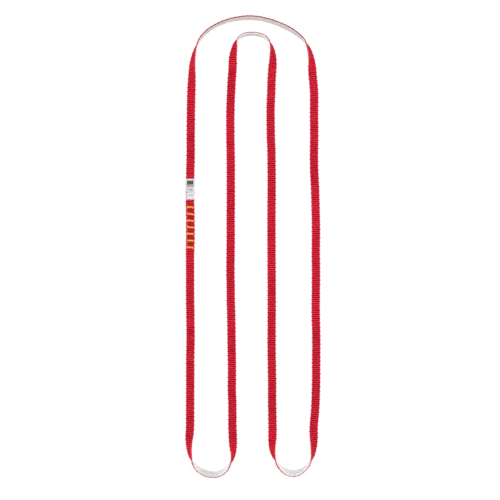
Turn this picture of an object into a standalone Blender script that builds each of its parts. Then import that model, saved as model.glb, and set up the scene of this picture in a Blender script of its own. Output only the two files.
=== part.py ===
"""Sewn sling of flat webbing, laid out flat in the shape of a rounded M.

Metres, +Z up. The sling lies on the plane z = 0, and the origin is under the middle of its outline.
One strip of webbing makes the whole loop. Its cut ends lie one on the other on the left leg, where
bar tacks sew them together and a clear sleeve with a label slip covers the upper cut end.

Places along the strip are distances from its lower cut end, the tail. The strip climbs the left leg,
goes once round the loop and comes back over its own tail. Its other cut end is the head.
"""

import math

import bmesh
import bpy
import numpy
from mathutils import Matrix, Vector

# Webbing
WEBBING_WIDTH = 0.010
WEBBING_THICKNESS = 0.002
SELVEDGE_DEPTH = 0.0009  # how far in from each side edge the webbing starts to round off
SELVEDGE_FACES = 4

# Air left between pieces that touch
CLEARANCE = 0.0003

# Bar tacks: each is a ring of thread over, through and under both layers
TACK_COUNT = 7
TACK_PITCH = 0.0083
TACK_WIDTH = 0.0021
TACK_SIDE_MARGIN = 0.0007  # bare webbing beside each end of a tack
TACK_SLANT = math.radians(5.0)
TACK_SINK = 0.00025  # how deep a tack pulls into each face of the lap
TACK_CORNER = 0.0004
THREAD_DEPTH = 0.0005  # thickness of a tack's thread over and under the webbing
THREAD_LEG = 0.0006  # thickness of a tack's thread where it passes through the webbing
TAIL_LENGTH = 0.0106  # from the last tack's middle to the lower cut end

# Thread carried over from tack to tack
CARRY_DIAMETER = 0.0005
CARRY_INSET = 0.0009  # from a tack's left end to the thread
CARRY_SIDES = 8

# Label: a clear sleeve round the webbing, with a slip inside it
LABEL_LENGTH = 0.026
LABEL_STANDOFF = 0.0092  # from the first tack's edge to the sleeve's mouth
LABEL_COVER = 0.0054  # how far the sleeve reaches over the upper cut end
SLEEVE_SIDE_ROOM = 0.0008  # from the webbing's edge to the inside of the sleeve
SLEEVE_WALL = 0.00025
SLEEVE_CORNER = 0.001
SLEEVE_STEP_LENGTH = 0.008  # stretch in which the sleeve drops from two layers to one
SLIP_THICKNESS = 0.0002
SLIP_SIDE_MARGIN = 0.0008  # from the webbing's edge to the slip's edge
SLIP_END_MARGIN = 0.001

# Stretch in which a layer of the lap comes down to the table
RAMP_LENGTH = 0.020
RAMP_GUARD = 0.003  # level stretch of the upper layer past the lower cut end

# Fineness of the meshes
CORNER_POINTS = 3
STEP_PARTS = 6
SAMPLE_STEP = 0.001
LONGEST_STEP = 0.018
LARGEST_TURN = math.radians(7.0)  # most that the strip turns or rolls from one ring to the next
LARGEST_CLIMB = 0.0003
SHARP_ANGLE = math.radians(35.0)  # edges sharper than this stay crisp

# Route of the strip's middle line from the tail, once round: x, y in metres and the roll in degrees.
# Roll 0 lies flat with the red face up. A positive roll lifts the edge on the right of the way the
# strip runs, a negative roll the edge on its left. Past 90 the pale face shows from above.
ROUTE = [
    # Left leg, going up
    (-0.0783, -0.0120, 0),
    (-0.0783, 0.0320, 0),
    (-0.0783, 0.0760, 0),
    (-0.0783, 0.1040, 0),
    (-0.0778, 0.1380, 0),
    (-0.0773, 0.1700, 0),
    (-0.0768, 0.1960, 10),
    (-0.0763, 0.2120, 38),
    (-0.0758, 0.2270, 61),
    (-0.0740, 0.2400, 78),
    (-0.0708, 0.2508, 90),
    # Outer arch
    (-0.0652, 0.2608, 98),
    (-0.0562, 0.2700, 104),
    (-0.0435, 0.2776, 107),
    (-0.0272, 0.2834, 109),
    (-0.0098, 0.2858, 110),
    (0.0062, 0.2852, 110),
    (0.0212, 0.2818, 110),
    (0.0372, 0.2758, 108),
    (0.0522, 0.2674, 104),
    (0.0624, 0.2592, 96),
    # Right leg, going down
    (0.0699, 0.2480, 78),
    (0.0728, 0.2370, 61),
    (0.0739, 0.2270, 35),
    (0.0748, 0.2130, 0),
    (0.0762, 0.1950, 0),
    (0.0767, 0.1300, 0),
    (0.0782, 0.0500, 0),
    (0.0788, -0.0600, 0),
    (0.0791, -0.1650, 0),
    (0.0777, -0.2080, 0),
    (0.0762, -0.2300, 8),
    (0.0764, -0.2430, 35),
    (0.0757, -0.2540, 60),
    (0.0736, -0.2640, 82),
    # Right bight
    (0.0692, -0.2728, 98),
    (0.0622, -0.2798, 115),
    (0.0530, -0.2836, 128),
    (0.0430, -0.2822, 126),
    (0.0340, -0.2762, 110),
    # Inner right leg, going up
    (0.0285, -0.2675, 90),
    (0.0251, -0.2570, 68),
    (0.0242, -0.2470, 47),
    (0.0247, -0.2360, 12),
    (0.0242, -0.2150, 0),
    (0.0237, -0.1250, 0),
    (0.0233, 0.0000, 0),
    (0.0232, 0.1000, 0),
    (0.0229, 0.1900, 0),
    (0.0242, 0.2220, 0),
    (0.0250, 0.2330, -41),
    (0.0246, 0.2430, -66),
    (0.0226, 0.2520, -82),
    # Inner arch
    (0.0184, 0.2588, -92),
    (0.0114, 0.2638, -102),
    (0.0022, 0.2657, -105),
    (-0.0080, 0.2654, -105),
    (-0.0164, 0.2618, -98),
    (-0.0210, 0.2564, -84),
    # Inner left leg, going down
    (-0.0235, 0.2470, -58),
    (-0.0248, 0.2380, -33),
    (-0.0253, 0.2260, 0),
    (-0.0263, 0.2050, 0),
    (-0.0278, 0.1400, 0),
    (-0.0276, 0.0400, 0),
    (-0.0275, -0.0600, 0),
    (-0.0262, -0.1600, 0),
    (-0.0258, -0.2120, 0),
    (-0.0248, -0.2400, 8),
    (-0.0248, -0.2520, 47),
    (-0.0250, -0.2620, 74),
    # Left bight
    (-0.0280, -0.2710, 92),
    (-0.0350, -0.2800, 112),
    (-0.0460, -0.2846, 130),
    (-0.0582, -0.2836, 128),
    (-0.0684, -0.2783, 112),
    (-0.0754, -0.2694, 95),
    # Left leg, coming back up to the tail
    (-0.0792, -0.2580, 74),
    (-0.0800, -0.2450, 50),
    (-0.0790, -0.2320, 8),
    (-0.0783, -0.2100, 0),
    (-0.0783, -0.1100, 0),
]

# Heights of the lap's layers over the table
LOWER_LIFT = max(SLEEVE_WALL, THREAD_DEPTH - TACK_SINK) + CLEARANCE
UPPER_LIFT = LOWER_LIFT + WEBBING_THICKNESS + CLEARANCE
LAP_TOP = UPPER_LIFT + WEBBING_THICKNESS

# Places along the strip, from the tail
FIRST_TACK = TAIL_LENGTH + (TACK_COUNT - 1) * TACK_PITCH
LABEL_START = FIRST_TACK + TACK_WIDTH / 2 + LABEL_STANDOFF
LABEL_END = LABEL_START + LABEL_LENGTH
LAP_LENGTH = LABEL_START + LABEL_COVER

TACK_HALF_LENGTH = WEBBING_WIDTH / 2 - TACK_SIDE_MARGIN


def smooth_rise(share):
    """Return a rise from 0 to 1 with level ends, for a share of the way from 0 to 1."""
    share = min(max(share, 0.0), 1.0)
    return share * share * (3.0 - 2.0 * share)


class Loop:
    """The closed route: a cubic spline for its places and a monotone cubic for its roll."""

    def __init__(self, route):
        self.places = numpy.array([(x, y) for x, y, roll in route])
        self.rolls = numpy.radians([roll for x, y, roll in route])
        self.count = len(route)
        self.spans = numpy.linalg.norm(numpy.roll(self.places, -1, axis=0) - self.places, axis=1)
        self.knots = numpy.concatenate([[0.0], numpy.cumsum(self.spans)])
        self.bends = self.solve_bends()
        self.roll_slopes = self.limit_roll_slopes()
        self.length = self.knots[-1]

    def solve_bends(self):
        """Return the second derivatives that make the closed spline smooth at every point."""
        matrix = numpy.zeros((self.count, self.count))
        right_side = numpy.zeros((self.count, 2))
        for index in range(self.count):
            before = self.spans[index - 1]
            after = self.spans[index]
            following = (index + 1) % self.count
            matrix[index, index - 1] = before
            matrix[index, index] = 2 * (before + after)
            matrix[index, following] = after
            step_after = (self.places[following] - self.places[index]) / after
            step_before = (self.places[index] - self.places[index - 1]) / before
            right_side[index] = 6 * (step_after - step_before)
        return numpy.linalg.solve(matrix, right_side)

    def limit_roll_slopes(self):
        """Return slopes at the points that keep the roll from swinging past its own values."""
        rates = (numpy.roll(self.rolls, -1) - self.rolls) / self.spans
        slopes = numpy.zeros(self.count)
        for index in range(self.count):
            if rates[index - 1] * rates[index] > 0:
                before = 2 * self.spans[index] + self.spans[index - 1]
                after = self.spans[index] + 2 * self.spans[index - 1]
                total = before / rates[index - 1] + after / rates[index]
                slopes[index] = (before + after) / total
        return slopes

    def locate(self, distance):
        """Return the span that holds a distance, its two ends and the share of the way along it."""
        distance = distance % self.length
        index = min(int(numpy.searchsorted(self.knots, distance, side="right")) - 1, self.count - 1)
        share = (distance - self.knots[index]) / self.spans[index]
        return index, (index + 1) % self.count, share

    def place(self, distance):
        """Return the point of the middle line on the table."""
        start, end, share = self.locate(distance)
        span = self.spans[start]
        left = 1 - share
        line = left * self.places[start] + share * self.places[end]
        bow = (left**3 - left) * self.bends[start] + (share**3 - share) * self.bends[end]
        point = line + bow * span**2 / 6
        return Vector((point[0], point[1], 0.0))

    def heading(self, distance):
        """Return the level unit vector along the strip."""
        start, end, share = self.locate(distance)
        span = self.spans[start]
        left = 1 - share
        line = (self.places[end] - self.places[start]) / span
        bow = (3 * share**2 - 1) * self.bends[end] - (3 * left**2 - 1) * self.bends[start]
        slope = line + bow * span / 6
        return Vector((slope[0], slope[1], 0.0)).normalized()

    def across(self, distance):
        """Return the level unit vector to the right of the way the strip runs."""
        heading = self.heading(distance)
        return Vector((heading.y, -heading.x, 0.0))

    def roll(self, distance):
        """Return the roll of the strip in radians."""
        start, end, share = self.locate(distance)
        left = 1 - share
        between = self.rolls[start] + (self.rolls[end] - self.rolls[start]) * smooth_rise(share)
        slopes = share * left**2 * self.roll_slopes[start] - share**2 * left * self.roll_slopes[end]
        return between + slopes * self.spans[start]


def strip_lift(loop, distance):
    """Return the height of the strip's lowest line over the table."""
    came_down = smooth_rise((distance - LABEL_END) / RAMP_LENGTH)
    level_start = loop.length - RAMP_GUARD
    went_up = smooth_rise((distance - level_start + RAMP_LENGTH) / RAMP_LENGTH)
    return LOWER_LIFT * (1 - came_down) + UPPER_LIFT * went_up


def webbing_section():
    """Return the webbing's outline as (across, up) points, from its middle."""
    flat_half = WEBBING_WIDTH / 2 - SELVEDGE_DEPTH
    outline = []
    for index in range(SELVEDGE_FACES + 1):
        angle = math.pi / 2 - math.pi * index / SELVEDGE_FACES
        across = flat_half + SELVEDGE_DEPTH * math.cos(angle)
        outline.append((across, WEBBING_THICKNESS / 2 * math.sin(angle)))
    outline += [(-across, up) for across, up in reversed(outline)]
    return outline


def strip_ring(loop, distance, section):
    """Return the section's points at one place: rolled, and set down on the layer's own height."""
    place = loop.place(distance)
    right = loop.across(distance)
    roll = loop.roll(distance)
    upward = Vector((0.0, 0.0, 1.0))
    sideways = right * math.cos(roll) + upward * math.sin(roll)
    outward = upward * math.cos(roll) - right * math.sin(roll)
    ring = [place + sideways * across + outward * up for across, up in section]
    rise = strip_lift(loop, distance) - min(point.z for point in ring)
    return [point + upward * rise for point in ring]


def strip_stations(loop):
    """Return the distances that get a ring: close together where the strip bends, rolls or climbs."""
    strip_length = loop.length + LAP_LENGTH
    samples = math.ceil(strip_length / SAMPLE_STEP)
    stations = [0.0]
    turned = 0.0
    climbed = 0.0
    previous = 0.0
    for index in range(1, samples):
        distance = strip_length * index / samples
        bend = loop.heading(previous).angle(loop.heading(distance))
        twist = abs(loop.roll(distance) - loop.roll(previous))
        climb = abs(strip_lift(loop, distance) - strip_lift(loop, previous))
        spent = (turned + bend + twist) / LARGEST_TURN
        spent = max(spent, (climbed + climb) / LARGEST_CLIMB, (distance - stations[-1]) / LONGEST_STEP)
        if spent > 1:
            stations.append(previous)
            turned = 0.0
            climbed = 0.0
        turned += bend + twist
        climbed += climb
        previous = distance
    stations.append(strip_length)
    return stations


def rounded_outline(half_width, bottom, top, radius):
    """Return a rectangle with round corners as (across, up) points, counter-clockwise."""
    radius = min(radius, half_width, (top - bottom) / 2)
    corners = [
        (half_width - radius, top - radius, 0),
        (radius - half_width, top - radius, 1),
        (radius - half_width, bottom + radius, 2),
        (half_width - radius, bottom + radius, 3),
    ]
    outline = []
    for across, up, quarter in corners:
        for index in range(CORNER_POINTS):
            angle = math.pi / 2 * (quarter + index / (CORNER_POINTS - 1))
            outline.append((across + radius * math.cos(angle), up + radius * math.sin(angle)))
    return outline


def join_rings(bm, first, second):
    """Add the faces between two rings of vertices of the same count."""
    count = len(first)
    for index in range(count):
        following = (index + 1) % count
        bm.faces.new((first[index], first[following], second[following], second[index]))


def solid_from_rings(name, rings):
    """Return the mesh of a solid skinned over rings of points, with flat ends."""
    bm = bmesh.new()
    loops = [[bm.verts.new(point) for point in ring] for ring in rings]
    for first, second in zip(loops, loops[1:]):
        join_rings(bm, first, second)
    bm.faces.new(loops[0])
    bm.faces.new(loops[-1])
    return finished_mesh(name, bm)


def tube_from_rings(name, outer_rings, inner_rings):
    """Return the mesh of an open tube skinned over outer and inner rings of points."""
    bm = bmesh.new()
    outer = [[bm.verts.new(point) for point in ring] for ring in outer_rings]
    inner = [[bm.verts.new(point) for point in ring] for ring in inner_rings]
    for loops in (outer, inner):
        for first, second in zip(loops, loops[1:]):
            join_rings(bm, first, second)
    join_rings(bm, outer[0], inner[0])
    join_rings(bm, outer[-1], inner[-1])
    return finished_mesh(name, bm)


def finished_mesh(name, bm):
    """Turn the faces outwards, shade them smooth between sharp edges and return the mesh."""
    bmesh.ops.recalc_face_normals(bm, faces=bm.faces)
    mesh = bpy.data.meshes.new(name)
    bm.to_mesh(mesh)
    bm.free()
    mesh.shade_smooth()
    mesh.set_sharp_from_angle(angle=SHARP_ANGLE)
    return mesh


def make_material(name, colour, roughness, alpha=1.0, transmission=0.0):
    """Return a Principled material."""
    material = bpy.data.materials.new(name)
    material.use_nodes = True
    shader = material.node_tree.nodes["Principled BSDF"]
    shader.inputs["Base Color"].default_value = (*colour, 1.0)
    shader.inputs["Roughness"].default_value = roughness
    shader.inputs["Metallic"].default_value = 0.0
    shader.inputs["Alpha"].default_value = alpha
    shader.inputs["Transmission Weight"].default_value = transmission
    return material


def add_object(name, mesh, parent, material=None):
    """Put a mesh in the scene under the parent and return its object."""
    piece = bpy.data.objects.new(name, mesh)
    bpy.context.scene.collection.objects.link(piece)
    piece.parent = parent
    if material:
        piece.data.materials.append(material)
    return piece


def make_webbing(loop, parent):
    """Sweep the one strip of webbing along the route."""
    section = webbing_section()
    rings = [strip_ring(loop, distance, section) for distance in strip_stations(loop)]
    material = make_material("red_webbing", (0.62, 0.012, 0.035), 0.75)
    return add_object("webbing", solid_from_rings("webbing", rings), parent, material)


def tack_mesh(name, growth):
    """Return a ring of thread round both layers, grown on every side where it serves as a cutter."""
    half_length = TACK_HALF_LENGTH + growth
    half_width = TACK_WIDTH / 2 + growth
    over = LAP_TOP - TACK_SINK + CLEARANCE
    under = LOWER_LIFT + TACK_SINK - CLEARANCE
    bottom = under - THREAD_DEPTH - growth
    top = over + THREAD_DEPTH + growth
    outside = rounded_outline(half_length, bottom, top, TACK_CORNER)
    inside_half = TACK_HALF_LENGTH - THREAD_LEG - growth
    inside = rounded_outline(inside_half, under + growth, over - growth, TACK_CORNER / 2)
    ends = (-half_width, half_width)
    outer_rings = [[Vector((across, along, up)) for across, up in outside] for along in ends]
    inner_rings = [[Vector((across, along, up)) for across, up in inside] for along in ends]
    return tube_from_rings(name, outer_rings, inner_rings)


def strip_matrix(loop, distance, slant=0.0):
    """Return the place on the left leg as a matrix: x across, y along the strip, z up."""
    heading = loop.heading(distance)
    turn = math.atan2(heading.y, heading.x) - math.pi / 2
    return Matrix.Translation(loop.place(distance)) @ Matrix.Rotation(turn - slant, 4, "Z")


def tack_distance(number):
    """Return the place of a tack along the strip. Number 1 is next to the label."""
    return FIRST_TACK - (number - 1) * TACK_PITCH


def make_tacks(loop, webbing, parent):
    """Add the bar tacks, and cut the slots and grooves they lie in from the webbing."""
    material = make_material("yellow_thread", (0.80, 0.38, 0.06), 0.6)
    thread = tack_mesh("bar_tack", 0.0)
    thread.materials.append(material)
    room = tack_mesh("bar_tack_room", CLEARANCE)
    for number in range(1, TACK_COUNT + 1):
        matrix = strip_matrix(loop, tack_distance(number), TACK_SLANT)
        tack = add_object(f"bar_tack_{number}", thread, parent)
        tack.matrix_local = matrix
        cutter = add_object(f"bar_tack_room_{number}", room, parent)
        cutter.matrix_local = matrix
        cutter.hide_render = True
        cutter.display_type = "WIRE"
        cut = webbing.modifiers.new(f"bar_tack_room_{number}", "BOOLEAN")
        cut.operation = "DIFFERENCE"
        cut.solver = "EXACT"
        cut.object = cutter
    return material


def carry_mesh():
    """Return one stretch of carried thread, from the edge of a tack to the edge of the next."""
    length = TACK_PITCH - TACK_WIDTH / math.cos(TACK_SLANT) - 2 * CLEARANCE
    radius = CARRY_DIAMETER / 2
    bm = bmesh.new()
    lying = Matrix.Rotation(math.pi / 2, 4, "X")
    bmesh.ops.create_cone(
        bm, cap_ends=True, segments=CARRY_SIDES, radius1=radius, radius2=radius, depth=length, matrix=lying
    )
    return finished_mesh("carry_thread", bm)


def make_carry_threads(loop, material, parent):
    """Lay the carried thread between neighbouring tacks, near their left ends."""
    mesh = carry_mesh()
    mesh.materials.append(material)
    from_middle = TACK_HALF_LENGTH - CARRY_INSET
    height = LAP_TOP + CLEARANCE + CARRY_DIAMETER / 2
    place = Vector((-from_middle, from_middle * math.tan(TACK_SLANT), height))
    for number in range(1, TACK_COUNT):
        halfway = (tack_distance(number) + tack_distance(number + 1)) / 2
        thread = add_object(f"carry_thread_{number}", mesh, parent)
        thread.matrix_local = strip_matrix(loop, halfway) @ Matrix.Translation(place)


def sleeve_roof(distance):
    """Return the height of the inside of the sleeve's top: over two layers, then over one."""
    one_layer = LOWER_LIFT + WEBBING_THICKNESS
    dropped = smooth_rise((distance - LAP_LENGTH - CLEARANCE) / SLEEVE_STEP_LENGTH)
    covered = LAP_TOP + (one_layer - LAP_TOP) * dropped
    return covered + CLEARANCE + SLIP_THICKNESS + CLEARANCE


def label_stations(start, end):
    """Return the distances that get a ring in the label: its ends and the step down."""
    step_start = LAP_LENGTH + CLEARANCE
    step = [step_start + SLEEVE_STEP_LENGTH * index / STEP_PARTS for index in range(STEP_PARTS + 1)]
    return [start] + [distance for distance in step if start < distance < end] + [end]


def place_section(loop, distance, section):
    """Return an upright section's points at a place on the strip."""
    place = loop.place(distance)
    right = loop.across(distance)
    return [place + right * across + Vector((0.0, 0.0, up)) for across, up in section]


def make_label(loop, parent):
    """Make the clear sleeve round the webbing, and the slip between it and the red face."""
    inside_half = WEBBING_WIDTH / 2 + SLEEVE_SIDE_ROOM
    outside_half = inside_half + SLEEVE_WALL
    inside_corner = SLEEVE_CORNER - SLEEVE_WALL
    outer_rings = []
    inner_rings = []
    for distance in label_stations(LABEL_START, LABEL_END):
        roof = sleeve_roof(distance)
        outside = rounded_outline(outside_half, 0.0, roof + SLEEVE_WALL, SLEEVE_CORNER)
        inside = rounded_outline(inside_half, SLEEVE_WALL, roof, inside_corner)
        outer_rings.append(place_section(loop, distance, outside))
        inner_rings.append(place_section(loop, distance, inside))
    clear = make_material("clear_film", (0.90, 0.84, 0.84), 0.35, alpha=0.35, transmission=0.6)
    add_object("label_sleeve", tube_from_rings("label_sleeve", outer_rings, inner_rings), parent, clear)

    slip_half = WEBBING_WIDTH / 2 - SLIP_SIDE_MARGIN
    slip_rings = []
    for distance in label_stations(LABEL_START + SLIP_END_MARGIN, LABEL_END - SLIP_END_MARGIN):
        top = sleeve_roof(distance) - CLEARANCE
        bottom = top - SLIP_THICKNESS
        section = [(slip_half, top), (-slip_half, top), (-slip_half, bottom), (slip_half, bottom)]
        slip_rings.append(place_section(loop, distance, section))
    white = make_material("white_label", (0.80, 0.81, 0.80), 0.5)
    add_object("label_slip", solid_from_rings("label_slip", slip_rings), parent, white)


def main():
    """Clear the scene and build the sling."""
    for leftover in list(bpy.data.objects):
        bpy.data.objects.remove(leftover)
    loop = Loop(ROUTE)
    sling = bpy.data.objects.new("sewn_sling", None)
    bpy.context.scene.collection.objects.link(sling)
    webbing = make_webbing(loop, sling)
    thread = make_tacks(loop, webbing, sling)
    make_carry_threads(loop, thread, sling)
    make_label(loop, sling)


main()
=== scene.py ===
"""Looks of the sewn sling: its double weave, stitches and label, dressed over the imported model.

Metres, +Z up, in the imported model's own frame. The strip of webbing is laid along one route. Every
piece is made in strip coordinates and then laid out: along the strip from its lower cut end, the
tail, across it to the right of the way it runs, and out of its red face.
"""

import logging
import math
from dataclasses import dataclass, field, replace
from enum import Enum

import bpy
import numpy as np
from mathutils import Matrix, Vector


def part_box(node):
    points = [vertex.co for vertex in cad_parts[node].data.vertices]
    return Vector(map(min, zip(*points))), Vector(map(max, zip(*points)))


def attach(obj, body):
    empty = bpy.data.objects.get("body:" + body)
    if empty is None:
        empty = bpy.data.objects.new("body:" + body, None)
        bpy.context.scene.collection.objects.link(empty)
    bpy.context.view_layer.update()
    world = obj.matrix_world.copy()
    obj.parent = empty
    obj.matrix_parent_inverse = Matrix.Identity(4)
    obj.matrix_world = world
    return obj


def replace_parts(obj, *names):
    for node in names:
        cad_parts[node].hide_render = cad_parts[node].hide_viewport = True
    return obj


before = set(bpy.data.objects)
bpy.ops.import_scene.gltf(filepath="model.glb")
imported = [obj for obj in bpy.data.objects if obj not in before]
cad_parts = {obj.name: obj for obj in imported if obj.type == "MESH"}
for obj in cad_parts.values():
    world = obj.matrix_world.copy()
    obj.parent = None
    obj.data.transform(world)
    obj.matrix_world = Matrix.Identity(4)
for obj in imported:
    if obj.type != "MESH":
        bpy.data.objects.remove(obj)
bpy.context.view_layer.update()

Array = np.ndarray
Piece = bpy.types.Object
Socket = bpy.types.NodeSocket
Point = tuple[float, float, float]
Colour = tuple[float, float, float]
Range = tuple[float, float]

log = logging.getLogger("sewn_sling")

# The strip's middle line from the tail, once round: x, y in millimetres and the roll in degrees.
# Roll 0 lies flat with the red face up. A positive roll lifts the edge on the right.
ROUTE = [
    # Left leg, going up
    (-78.3, -12, 0), (-78.3, 32, 0), (-78.3, 76, 0), (-78.3, 104, 0), (-77.8, 138, 0), (-77.3, 170, 0),
    (-76.8, 196, 10), (-76.3, 212, 38), (-75.8, 227, 61), (-74, 240, 78), (-70.8, 250.8, 90),
    # Outer arch
    (-65.2, 260.8, 98), (-56.2, 270, 104), (-43.5, 277.6, 107), (-27.2, 283.4, 109), (-9.8, 285.8, 110),
    (6.2, 285.2, 110), (21.2, 281.8, 110), (37.2, 275.8, 108), (52.2, 267.4, 104), (62.4, 259.2, 96),
    # Right leg, going down
    (69.9, 248, 78), (72.8, 237, 61), (73.9, 227, 35), (74.8, 213, 0), (76.2, 195, 0), (76.7, 130, 0),
    (78.2, 50, 0), (78.8, -60, 0), (79.1, -165, 0), (77.7, -208, 0), (76.2, -230, 8), (76.4, -243, 35),
    (75.7, -254, 60), (73.6, -264, 82),
    # Right bight
    (69.2, -272.8, 98), (62.2, -279.8, 115), (53, -283.6, 128), (43, -282.2, 126), (34, -276.2, 110),
    # Inner right leg, going up
    (28.5, -267.5, 90), (25.1, -257, 68), (24.2, -247, 47), (24.7, -236, 12), (24.2, -215, 0),
    (23.7, -125, 0), (23.3, 0, 0), (23.2, 100, 0), (22.9, 190, 0), (24.2, 222, 0), (25, 233, -41),
    (24.6, 243, -66), (22.6, 252, -82),
    # Inner arch
    (18.4, 258.8, -92), (11.4, 263.8, -102), (2.2, 265.7, -105), (-8, 265.4, -105), (-16.4, 261.8, -98),
    (-21, 256.4, -84),
    # Inner left leg, going down
    (-23.5, 247, -58), (-24.8, 238, -33), (-25.3, 226, 0), (-26.3, 205, 0), (-27.8, 140, 0),
    (-27.6, 40, 0), (-27.5, -60, 0), (-26.2, -160, 0), (-25.8, -212, 0), (-24.8, -240, 8),
    (-24.8, -252, 47), (-25, -262, 74),
    # Left bight
    (-28, -271, 92), (-35, -280, 112), (-46, -284.6, 130), (-58.2, -283.6, 128), (-68.4, -278.3, 112),
    (-75.4, -269.4, 95),
    # Left leg, coming back up to the tail
    (-79.2, -258, 74), (-80, -245, 50), (-79, -232, 8), (-78.3, -210, 0), (-78.3, -110, 0),
]

# How the strip has settled beside its route: centimetres along it, and millimetres to the right.
SHIFTS = {
    0: -0.15, 3: 0.3, 5: 0.15, 7: -0.25, 8: -0.05, 11: 0.2, 12: 0.5, 13: 0.5, 15: 0.1, 18: -0.05, 21: 0.1,
    23: 0.4, 26: 0.65, 30: 0.4, 33: 0.45, 34: 0.3, 38: 0.1, 40: -0.15, 41: -0.05, 43: 0.55, 45: 0.15,
    48: -0.2, 51: 0.5, 54: 0.1, 58: 0.45, 61: -0.15, 63: -0.15, 65: -0.35, 69: 0.1, 71: -0.2, 73: -0.05,
    75: 0.3, 77: 0.2, 78: -0.1, 80: -0.25, 82: 0, 85: 0, 86: 0.15, 93: 0.3, 94: -0.1, 95: -0.1, 97: 0.25,
    100: 0.2, 101: 0.1, 102: 0.2, 104: -0.15, 107: 0.5, 110: 0.8, 112: 0.4, 114: -0.15, 115: -0.3,
    125: 0.05, 130: 0, 136: 0.25, 139: 0.2, 141: -0.4, 144: -0.6, 147: 0.1, 149: 0.15, 151: -0.2,
    156: -0.35, 157: -0.65, 158: -0.7, 160: -0.15, 163: 0.25, 166: 0.5, 168: 0.45, 169: 0.3, 173: -0.25,
    178: -0.1, 180: 0.15, 182: 0, 187: 0.35, 188: 0.1, 190: 0.15, 192: -0.1, 196: 0, 198: -0.15, 201: 0,
    203: -0.6, 204: -0.4, 206: 0.35, 209: 0, 210: 0.25, 211: 0.25, 213: -0.1, 215: 0.25, 216: 0.3,
    217: 0.55, 218: 0.6, 220: 0.2, 223: -0.15, 229: -0.05, 232: 0.5, 235: 0.2, 237: -0.1, 242: -0.15,
}

# How it has turned against the route's roll: centimetres along it, and degrees.
TURNS = {
    21: 0, 23: -4, 25: -3, 26: -2, 27: 2, 28: 0, 30: -4, 31: -4.5, 32: -3, 33: -1.5, 34: 2, 37: 1, 40: 4.5,
    41: 3, 42: 5, 43: -1, 45: 0, 46: -8, 47: 0, 90: 0, 91: -8, 92: -2, 93: 0, 94: -1, 95: 5, 96: -4.5,
    97: 4, 98: 2, 99: -5, 100: 2.5, 101: -1, 102: -5, 103: -6, 104: 0, 150: 0, 151: 4, 152: 0, 153: -8,
    154: -4, 155: 0, 156: -1, 157: -3.5, 158: 3.5, 159: 0.5, 160: 0, 209: -1.5, 210: -1.5, 211: 2.5,
    213: -1, 215: 2.5, 216: 1.5, 217: -4, 218: -1.5, 220: 0,
}

MILLIMETRE = 0.001
LIE = "lie"  # the attribute that holds where a point lies on its yarn, thread or label
MAP_MARGIN = 0.03  # the share of a bake map's cell that stays free at each side
THREAD_SIDES = 6  # points round a sewing thread
STEEP = 0.05  # the level share of a line's heading below which it counts as upright
FIBRES = (0.3, 0.7)  # the range that most of a noise's values lie in
FALLING = (1.0, 0.0)  # what a range from 0 to 1 becomes where it has to fall
WHITE = (1.0, 1.0, 1.0)
BUMP_FILTER = 0.1  # the bump node's own filter width
MIX_NUMBERS = (None,) * 5  # the mix node's sockets between the factor and the colours


class Side(Enum):
    """A side edge of the strip, seen the way the strip runs with its red face up."""

    LEFT = -1
    RIGHT = 1


class Face(Enum):
    """A face of the strip, by the way it looks out of it."""

    RED = 1
    PALE = -1


def smooth_rise(share: Array | float) -> Array | float:
    """Return a rise from 0 to 1 with level ends, for a share of the way from 0 to 1."""
    share = np.clip(share, 0.0, 1.0)
    return share * share * (3.0 - 2.0 * share)


def eased(values: Array, place: Array) -> Array:
    """Return what lies between numbered values, at broken numbers, with level ends at whole ones."""
    index = np.clip(place.astype(int), 0, len(values) - 2)
    return values[index] + (values[index + 1] - values[index]) * smooth_rise(place - index)


def circle(sides: int) -> Array:
    """Return the angles of points spaced evenly round a ring."""
    return 2 * np.pi * np.arange(sides) / sides


def joined(*values: Array | float) -> Array:
    """Return values side by side on a last axis of their own."""
    return np.stack(np.broadcast_arrays(*values), axis=-1)


def linear(code: str) -> Colour:
    """Return a colour of six hexadecimal digits, on the sRGB curve, as linear red, green and blue."""
    steps = [int(code[place : place + 2], 16) / 255 for place in (0, 2, 4)]
    return tuple(step / 12.92 if step <= 0.04045 else ((step + 0.055) / 1.055) ** 2.4 for step in steps)


class Profile:
    """Values at places along the strip, eased from each to the next."""

    def __init__(self, rows: dict[float, float]) -> None:
        """Keep rows that give a value for each place in centimetres along the strip."""
        self.places = np.array(list(rows)) / 100
        self.values = np.array(list(rows.values()), dtype=float)

    def at(self, along: Array) -> Array:
        """Return the values at distances along the strip."""
        return eased(self.values, np.interp(along, self.places, np.arange(len(self.places))))


@dataclass(frozen=True)
class ArcShade:
    """A stretch along the strip where painted shade darkens its pale face: where that rises and where it
    falls.
    """

    rise: Range
    fall: Range
    tint: Colour  # what it multiplies the face's colour by

    def darkening(self, along: Array) -> Array:
        """Return how much darker the painted shade makes the face at distances along the strip."""
        rise, fall = (smooth_rise((along - low) / (high - low)) for low, high in (self.rise, self.fall))
        return rise * (1 - fall) * (1 - sum(self.tint) / 3)


# Painted shade on the pale face where it stands up: over the outer arch, in the middle of the right bight,
# over the inner arch and in the middle of the left bight.
ARC_SHADES = (
    ArcShade((0.25, 0.28), (0.41, 0.43), (0.91, 0.87, 0.86)),
    ArcShade((0.955, 0.966), (0.974, 0.985), (0.95, 0.95, 0.95)),
    ArcShade((1.515, 1.540), (1.560, 1.585), (0.97, 0.95, 0.95)),
    ArcShade((2.118, 2.132), (2.142, 2.152), (0.88, 0.88, 0.88)),
)


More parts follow.
